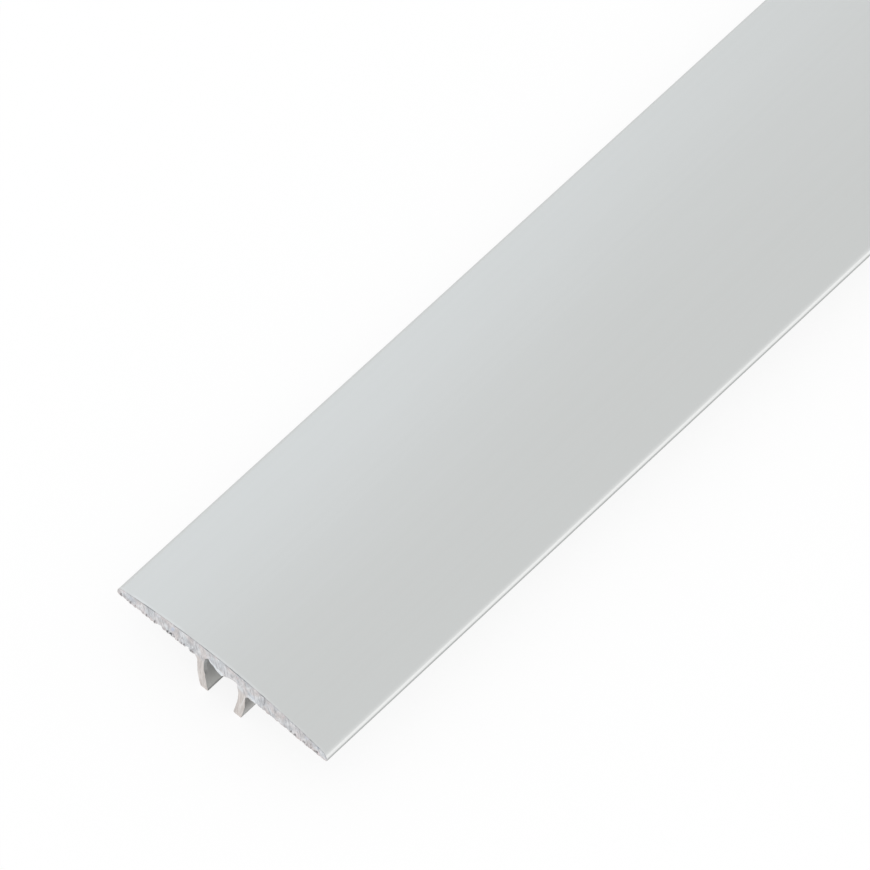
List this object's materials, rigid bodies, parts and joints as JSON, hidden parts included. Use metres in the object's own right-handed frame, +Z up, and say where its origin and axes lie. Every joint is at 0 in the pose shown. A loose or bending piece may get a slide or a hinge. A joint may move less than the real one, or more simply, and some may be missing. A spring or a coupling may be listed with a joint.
{
  "type": "floor joining strip",
  "caption": "Long crowned metal cover strip with a finely grooved underside and inward-turned legs that form an open channel for fixing plugs.",
  "frame": {"origin": "middle of the strip's length and width, at the level of the soles of its legs", "axes": "+X along the strip's length, +Y across its width, +Z up through the crown of the plate"},
  "size_m": [0.9, 0.04, 0.011],
  "materials": {
    "anodised_aluminium": "satin silver anodised, with raw sawn ends"
  },
  "bodies": {
    "root": {"joining_strip": "anodised_aluminium"}
  },
  "joints": []
}
